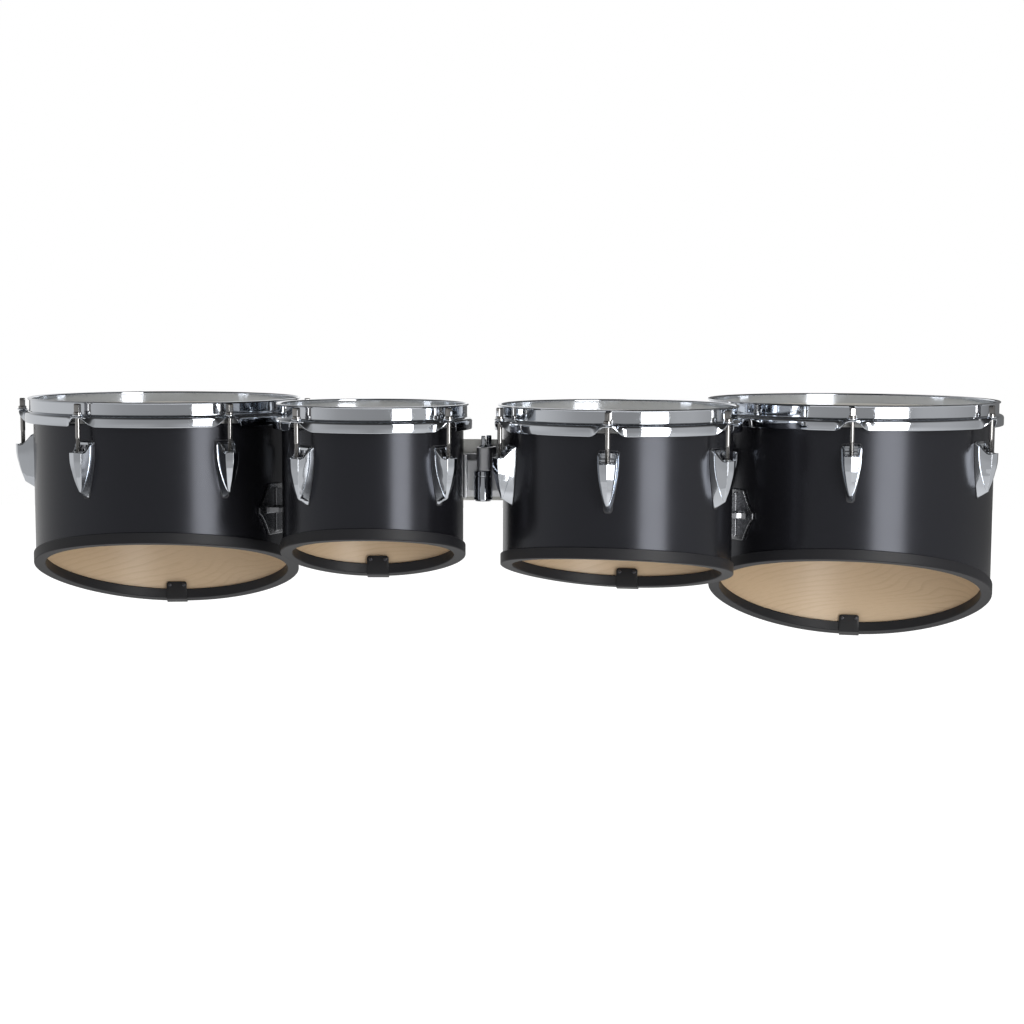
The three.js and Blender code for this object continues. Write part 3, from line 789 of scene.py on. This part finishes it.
lug_screw_outline = [(0, 4.2), (2.6, 4.2), (3.6, 3.4), (3.6, 1.3), (6, 1.3), (6, 0), (0, 0)]
lug_screw_bends = [0, 0.6, 0.4, 0.1, 0.4, 0.1, 0]
lug_screw = lathe("lug_screw", lug_screw_outline, lug_screw_bends)
lug_screw_levels = {"upper": 14, "lower": 44}
inwards = Matrix.Rotation(math.radians(-90), 4, "X")

for drum in drums:
    lug, gasket = lug_mesh(drum), gasket_mesh(drum)
    for i, turn in enumerate(lug_turns(drum), 1):
        name = f"lug_{drum.size}_{i}"
        at = drum.place @ turned_about_z(turn)
        show(name, lug, chrome, place=at, stands_for=[name], shared=True)
        show(f"lug_gasket_{drum.size}_{i}", gasket, gasket_rubber, place=at, shared=True)
        show(f"swivel_insert_{drum.size}_{i}", insert_mesh, zinc, place=rod_place(drum, turn),
             shared=True)
        for which, level in lug_screw_levels.items():
            inside = Matrix.Translation(Vector((0, -(drum.radius - shell_wall), lug_top - level)) * mm)
            show(f"lug_screw_{drum.size}_{i}_{which}", lug_screw, zinc, place=at @ inside @ inwards,
                 shared=True)

# Spacer brackets
# Two nickel-plated castings that join an outer drum to the next one in: a star-shaped foot bent
# to the outer shell, a plain foot on the inner one, and a thin flanged web between them.

cast_grain = 0.65
relax_share = 0.5


def solid_of(node):
    """A CAD solid as points in millimetres and faces."""
    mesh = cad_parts[node].data
    return [point.co / mm for point in mesh.vertices], [list(face.vertices) for face in mesh.polygons]


def cast(name, *solids, rounds=4):
    """One casting from plain solids: joined, remeshed, and relaxed until its edges are soft."""
    points, faces = [], []
    for solid_points, solid_faces in solids:
        faces += [[corner + len(points) for corner in face] for face in solid_faces]
        points += list(solid_points)
    pattern = placed(name + "_pattern", mesh_of(name, points, faces))
    remesh = pattern.modifiers.new("remesh", "REMESH")
    remesh.mode, remesh.voxel_size, remesh.use_smooth_shade = "VOXEL", cast_grain * mm, True
    relax = pattern.modifiers.new("relax", "SMOOTH")
    relax.factor, relax.iterations = relax_share, rounds
    mesh = bpy.data.meshes.new_from_object(pattern.evaluated_get(bpy.context.evaluated_depsgraph_get()))
    bpy.data.objects.remove(pattern)
    return mesh


# Die-cast aluminium, tumbled smooth: pale grey, a soft metal sheen, and a skin of 0.7 mm pebbles
cast_aluminium, tree, shader = material_of("cast_aluminium", "#dcdde0", Metallic=1.0, Roughness=0.34)
grained(tree, shader, 1400, 3, bump=(0.00005, 0.4))
where = add(tree, "TexCoord")
stain = add(tree, "TexNoise", {"Vector": where.outputs["Object"], "Scale": 60.0, "Detail": 4.0})
tone = add(tree, "Mix", {0: stain.outputs["Fac"], 6: linear("#d0d1d4"), 7: linear("#e6e7ea")},
           data_type="RGBA")
worn = add(tree, "MapRange", {"Value": stain.outputs["Fac"], "To Min": 0.26, "To Max": 0.42})
feed(shader, {"Base Color": tone.outputs[2], "Roughness": worn.outputs["Result"]})

# Nickel plate on a tumbled casting: satin and darker than the arms, so the black shells beside it
# show in it softly. The darker base is partly the nickel and partly painted shade for the deep gap
# between the shells
nickel_and_painted_shade, tree, shader = material_of("satin_nickel_and_painted_shade", "#9a9b9e", Metallic=1.0, Roughness=0.26)
grained(tree, shader, 900, 2, gloss=(0.22, 0.32), bump=(0.00004, 0.4))

web_half, web_drawn_half = 4.5, 1.3
rib_half = 3.5
near_enough = 0.1


def spacer_of(node, outer, inner):
    """A spacer's CAD solid, its web drawn in to the thin fin of a real casting."""
    points, faces = solid_of(node)
    low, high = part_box(node)
    level = (low.z + high.z) / 2 / mm
    towards = (inner.place.translation - outer.place.translation).normalized()
    across = Vector((-towards.y, towards.x, 0))
    centre = outer.place.translation / mm
    for i, point in enumerate(points):
        aside = (point - centre).dot(across)
        in_web = abs(abs(aside) - web_half) < near_enough
        if in_web and abs(point.z - level) > rib_half - near_enough:
            points[i] = point + across * (math.copysign(web_drawn_half, aside) - aside)
    return points, faces


# The spacers take the darker nickel, which is partly painted shade for the gap between the shells
for node, outer, inner in (("left_spacer_bracket", drums[0], drums[1]),
                           ("right_spacer_bracket", drums[3], drums[2])):
    show(f"{node}_casting", cast(node, spacer_of(node, outer, inner)), nickel_and_painted_shade,
         stands_for=[node])

# Middle bracket
# A cast clamp between the two inner drums: a flat rear plate, a stem with two arms whose feet are
# bent to the shells, and a barrel with a rear lobe, closed by two key bolts.

rear_width, rear_height, rear_gauge = 56, 69, 6
rear_corner, plate_edge = 4, 0.6
arm_height, arm_depth, arm_chamfer = 48, 20, 7
arm_top = 19.8
arm_bottom = arm_top - arm_height
foot_gauge, foot_width, foot_stations = 3.5, 34, 13
stem_width = 14
neck_into = 2
barrel_forward, barrel_aside, barrel_radius = 44, 1.4, 8.7
barrel_top, barrel_bottom = 28.5, 2.5
barrel_corner, barrel_sides = 3.4, 48
lobe_radius, lobe_height, lobe_aside, lobe_back = 8.6, 9, 6, 11.5
socket_radius = 10.4


def upright(radius, low, high, x, y, corner=round_corner):
    """An upright solid: round, or flatter in front where its corner is squarer."""
    return capped([[(x + px, y + py, z) for px, py, _ in squircle(2 * radius, corner, z, barrel_sides)]
                   for z in (low, high)])


quarters = ((-1, -1), (1, -1), (1, 1), (-1, 1))


def block(width, depth, height, x, y, z):
    """A square-edged solid about its middle."""
    ring = [(x + i * width / 2, y + j * depth / 2) for i, j in quarters]
    return capped([[(px, py, z + k * height / 2) for px, py in ring] for k in (-1, 1)])


def middle_arm(drum):
    """An arm with chamfered front edges, and its foot bent to the drum's shell."""
    centre = drum.place.translation / mm
    front = -barrel_forward + socket_radius
    reach = drum.radius + seat + foot_gauge / 2
    outline = [
        (front + arm_chamfer, arm_top), (front + arm_depth, arm_top), (front + arm_depth, arm_bottom),
        (front + arm_chamfer, arm_bottom), (front, arm_bottom + arm_chamfer),
        (front, arm_top - arm_chamfer),
    ]
    side = math.copysign(1, centre.x)
    ends = [centre.x - side * math.sqrt(reach ** 2 - (y - centre.y) ** 2) for y, _ in outline]
    arm = capped([[(0, y, z) for y, z in outline], [(x, y, z) for x, (y, z) in zip(ends, outline)]])
    towards = math.atan2(front + arm_depth / 2 - centre.y, -centre.x)
    rings = []
    for along in np.linspace(-foot_width / 2, foot_width / 2, foot_stations):
        turn = towards + along / drum.radius
        near, far = [(centre.x + r * math.cos(turn), centre.y + r * math.sin(turn))
                     for r in (drum.radius + seat, drum.radius + seat + foot_gauge)]
        rings.append([(*near, arm_bottom), (*far, arm_bottom), (*far, arm_top), (*near, arm_top)])
    return arm, capped(rings)


stem_depth = barrel_forward - socket_radius - rear_gauge / 2
stem = block(stem_width, stem_depth, arm_height, 0, -rear_gauge / 2 - stem_depth / 2,
             arm_top - arm_height / 2)
arms = [solid for drum in drums[1:3] for solid in middle_arm(drum)]
show("middle_arms", cast("middle_arms", stem, *arms), cast_aluminium,
     stands_for=["centre_bracket"])

neck_height = arm_top - barrel_bottom
neck = block(stem_width, socket_radius + neck_into, neck_height, 0,
             -barrel_forward + socket_radius - neck_into / 2, barrel_bottom + neck_height / 2)
barrel = upright(barrel_radius, barrel_bottom, barrel_top, barrel_aside, -barrel_forward,
                 barrel_corner)
lobe = upright(lobe_radius, barrel_top - lobe_height, barrel_top, lobe_aside,
               -barrel_forward + lobe_back)
show("clamp_barrel", cast("clamp_barrel", barrel, lobe, neck, rounds=3), cast_aluminium)

# Brushed aluminium plate: paler and warmer than the castings, with a faint brushing across it,
# 0.4 mm apart and so coarser than a real one, to let it show
brushed, tree, shader = material_of("brushed_aluminium_plate", "#f5f5f0", Metallic=1.0, Roughness=0.3)
grained(tree, shader, 1, 3, gloss=(0.24, 0.36), bump=(0.00003, 0.5), stretch=(90, 90, 2600))

plate_outline = rounded([(i * rear_width / 2, j * rear_height / 2) for i, j in quarters],
                        [rear_corner] * 4, steps=6)
plate_rows = [(plate_edge, -rear_gauge), (0, -rear_gauge + plate_edge),
              (0, -plate_edge), (plate_edge, 0)]
plate_rings = [
    [(x * (1 - 2 * less / rear_width), y, z * (1 - 2 * less / rear_height)) for x, z in plate_outline]
    for less, y in plate_rows
]
show("rear_plate", stack("rear_plate", plate_rings), brushed)

plate_screw_aside, plate_screw_up = 21, 27
plate_screw_outline = [(0, 1.2), (1.5, 1.2), (1.5, 2.6), (3.2, 2.4), (3.6, 0), (0, 0)]
plate_screw_bends = [0, 0.1, 0.2, 1.1, 0.2, 0]
plate_screw = lathe("plate_screw", plate_screw_outline, plate_screw_bends)
for i, x in enumerate((-plate_screw_aside, plate_screw_aside), 1):
    for j, z in enumerate((-plate_screw_up, plate_screw_up), 1):
        at = Matrix.Translation(Vector((x, 0, z)) * mm) @ inwards
        show(f"plate_screw_{i}_{j}", plate_screw, zinc, place=at, shared=True)

# Carrier socket
# A chromed steel tube, open below, that drops over the post of the harness carrier. The front key
# bolt holds it up under the barrel, and the rear one closes the lobe.

socket_bore, socket_height, socket_roof = 8, 33.5, 6
socket_chamfer, bore_chamfer = 2, 0.8
socket_groove, groove_half, groove_below = 0.35, 0.6, 6
socket_bends = [0, 0.5, 0.3, 0.3, 0.6, 0.8, 0.2, 0.2, 0.2, 0.5, 0]
socket_sides = 64
bolt_square, bolt_corner, bolt_height = 4.7, 7, 11
bolt_washer, bolt_washer_height, bolt_washer_edge = 4.8, 1.4, 0.3
bolt_shank, bolt_depth = 2.4, 4
bolt_collar = [(3.4, 0), (3.4, 0.8), (3.0, 1.2)]
bolt_foot = 1.3
bolt_crown = [(0, -1), (-0.4, -0.4), (-1.4, 0)]
rear_bolt_turn = 28

top = barrel_bottom - seat
bottom = top - socket_height
tube = lathe("carrier_socket", [
    (0, top - socket_roof), (socket_bore, top - socket_roof), (socket_bore, bottom + bore_chamfer),
    (socket_bore + bore_chamfer, bottom), (socket_radius - socket_chamfer, bottom),
    (socket_radius, bottom + socket_chamfer), (socket_radius, top - groove_below - groove_half),
    (socket_radius - socket_groove, top - groove_below),
    (socket_radius, top - groove_below + groove_half), (socket_radius, top), (0, top),
], socket_bends, sides=socket_sides)
show("carrier_socket_tube", tube, chrome, place=Matrix.Translation((0, -barrel_forward * mm, 0)),
     stands_for=["carrier_socket"])

round_rows = [
    (bolt_shank, -bolt_depth), (bolt_shank, 0), (bolt_washer - bolt_washer_edge, 0),
    (bolt_washer, bolt_washer_edge), (bolt_washer, bolt_washer_height - bolt_washer_edge),
    (bolt_washer - bolt_washer_edge, bolt_washer_height),
] + [(r, bolt_washer_height + z) for r, z in bolt_collar]
square_rows = [(bolt_square, bolt_foot)]
square_rows += [(bolt_square + out, bolt_height + up) for out, up in bolt_crown]
key_bolt = stack("key_bolt", [squircle(2 * r, round_corner, z, rod_sides) for r, z in round_rows] + [
    squircle(side, bolt_corner, bolt_washer_height + z, rod_sides) for side, z in square_rows])
for name, x, y, turn in (("front", 0, -barrel_forward, 0),
                         ("rear", lobe_aside, -barrel_forward + lobe_back, rear_bolt_turn)):
    at = Matrix.Translation(Vector((x, y, barrel_top)) * mm) @ turned_about_z(turn)
    show(f"key_bolt_{name}", key_bolt, chrome, place=at, shared=True)

# Studio
# A pale floor at carrying height below the drums, a grey surround that only mirrors see, brightest
# on the left and dark overhead, and one tall soft box to the right of the camera.

floor_height, floor_half = -0.95, 9
floor_lift = 0.55
surround_radius = 2.0
surround_step, surround_rise = 5, 3.25
surround_azimuths = [-165, -130, -100, -75, -55, -38, -20, 0, 20, 40, 52, 70, 95, 120, 170]
surround_levels = [0.78, 0.7, 0.62, 0.57, 0.46, 0.36, 0.33, 0.31, 0.3, 0.33, 0.48, 0.48, 0.38, 0.2,
                   0.12]
surround_heights = [-40, 9, 22, 35, 90]
surround_shares = [1, 1, 0.35, 0.12, 0.06]
glow_azimuths = [-165, -60, -20, 0, 20, 40, 70, 165]
glow_levels = [0.5, 0.48, 0.42, 0.32, 0.45, 0.72, 0.6, 0.5]
glow_heights = [-40, -15, -9, 90]
glow_shares = [1, 1, 0, 0]
ambient = 0.9
box_width, box_height, box_watts = 0.68, 1.5, 20.5
box_stand = Vector((0.92, -1.36, 0.33))
skirt_drop, skirt_strength = 0.23, 6.0


def sheet(name, points, faces, material, seen=True):
    """A sheet of the studio, in metres. One that isn't seen only shows in mirrors."""
    mesh = bpy.data.meshes.new(name)
    mesh.from_pydata(points, [], faces)
    mesh.materials.append(material)
    board = placed(name, mesh)
    board.visible_camera = board.visible_diffuse = board.visible_shadow = seen
    return board


def glowing(name, strength, colour=None):
    """A material that only gives light, in one colour or in the levels painted on its mesh."""
    material = bpy.data.materials.new(name)
    material.use_nodes = True
    tree = material.node_tree
    tree.nodes.clear()
    painted = colour or add(tree, "Attribute", attribute_name="level").outputs["Color"]
    light = add(tree, "Emission", {"Color": painted, "Strength": strength})
    add(tree, "OutputMaterial", {"Surface": light.outputs["Emission"]})
    return material


# Seamless floor paper: matt and pale, lifted to white for the eye alone, so a faint shadow stays
paper, tree, shader = material_of("floor_paper", "#cfcfcf", Roughness=0.9)
path = add(tree, "LightPath")
lift = add(tree, "Math", {0: path.outputs["Is Camera Ray"], 1: floor_lift}, operation="MULTIPLY")
feed(shader, {"Emission Color": linear("#ffffff"), "Emission Strength": lift.outputs["Value"]})
floor_corners = [(i * floor_half, j * floor_half, floor_height) for i, j in quarters]
sheet("floor", floor_corners, [[0, 1, 2, 3]], paper)

# Grey surround: its level at each point is painted on the mesh, so that mirrors see no hard joints,
# and low down it takes the floor's glow instead
azimuths = np.arange(surround_azimuths[0], surround_azimuths[-1] + 1, surround_step)
heights = np.arange(surround_heights[0], surround_heights[-1] + 1, surround_rise)
points, levels = [], []
for azimuth in azimuths:
    level = np.interp(azimuth, surround_azimuths, surround_levels)
    low_level = np.interp(azimuth, glow_azimuths, glow_levels)
    for height in heights:
        a, h = math.radians(azimuth), math.radians(height)
        way = Vector((math.sin(a) * math.cos(h), -math.cos(a) * math.cos(h), math.sin(h)))
        points.append(way * surround_radius)
        share = np.interp(height, glow_heights, glow_shares)
        levels.append((1 - share) * (level * np.interp(height, surround_heights, surround_shares))
                      + share * low_level)
count = len(heights)
faces = [[i * count + j, (i + 1) * count + j, (i + 1) * count + j + 1, i * count + j + 1]
         for i in range(len(azimuths) - 1) for j in range(count - 1)]
surround = sheet("surround", points, faces, glowing("surround_grey", 1.0), seen=False)
painted = surround.data.color_attributes.new("level", "FLOAT_COLOR", "POINT")
for entry, grey in zip(painted.data, levels):
    entry.color = (grey, grey, grey, 1)

# The soft box, and a bright card that carries it on below for mirrors alone
box = bpy.data.lights.new("soft_box", "AREA")
box.shape, box.size, box.size_y, box.energy = "RECTANGLE", box_width, box_height, box_watts
lamp = placed("soft_box", box)
lamp.location = box_stand
lamp.rotation_euler = (Vector((0, 0, box_stand.z)) - box_stand).to_track_quat("-Z", "Y").to_euler()
card = [(x * box_width / 2, -box_height / 2 - down, 0)
        for x, down in ((-1, 0), (1, 0), (1, skirt_drop), (-1, skirt_drop))]
card_white = glowing("soft_box_skirt", skirt_strength, linear("#ffffff"))
skirt = sheet("soft_box_skirt", card, [[0, 1, 2, 3]], card_white, seen=False)
skirt.location, skirt.rotation_euler = lamp.location, lamp.rotation_euler

world = bpy.data.worlds.new("white_room")
bpy.context.scene.world = world
world.use_nodes = True
tree = world.node_tree
path = add(tree, "LightPath")
seen = add(tree, "Math", {0: path.outputs["Is Camera Ray"], 1: path.outputs["Is Glossy Ray"]},
           operation="ADD")
seen = add(tree, "Math", {0: seen.outputs["Value"], 1: path.outputs["Is Transmission Ray"]},
           operation="MAXIMUM")
strength = add(tree, "MapRange", {"Value": seen.outputs["Value"], "To Min": ambient, "To Max": 1.0})
feed(tree.nodes["Background"], {"Color": linear("#ffffff"), "Strength": strength.outputs["Result"]})

# The camera stands just above the hoops, in front of the middle, and looks a little down
camera_stand = Vector((0.032, -2.156, 0.1735))
camera_down, camera_roll = 5.87, 0.0046
camera = bpy.data.cameras.new("camera")
camera.lens, camera.sensor_width, camera.clip_end = 67.3, 36, 100
view = placed("camera", camera)
pitch = Matrix.Rotation(math.radians(90 - camera_down), 4, "X")
view.matrix_world = Matrix.Translation(camera_stand) @ pitch @ Matrix.Rotation(camera_roll, 4, "Z")
bpy.context.scene.camera = view
bpy.context.scene.view_settings.view_transform = "Standard"
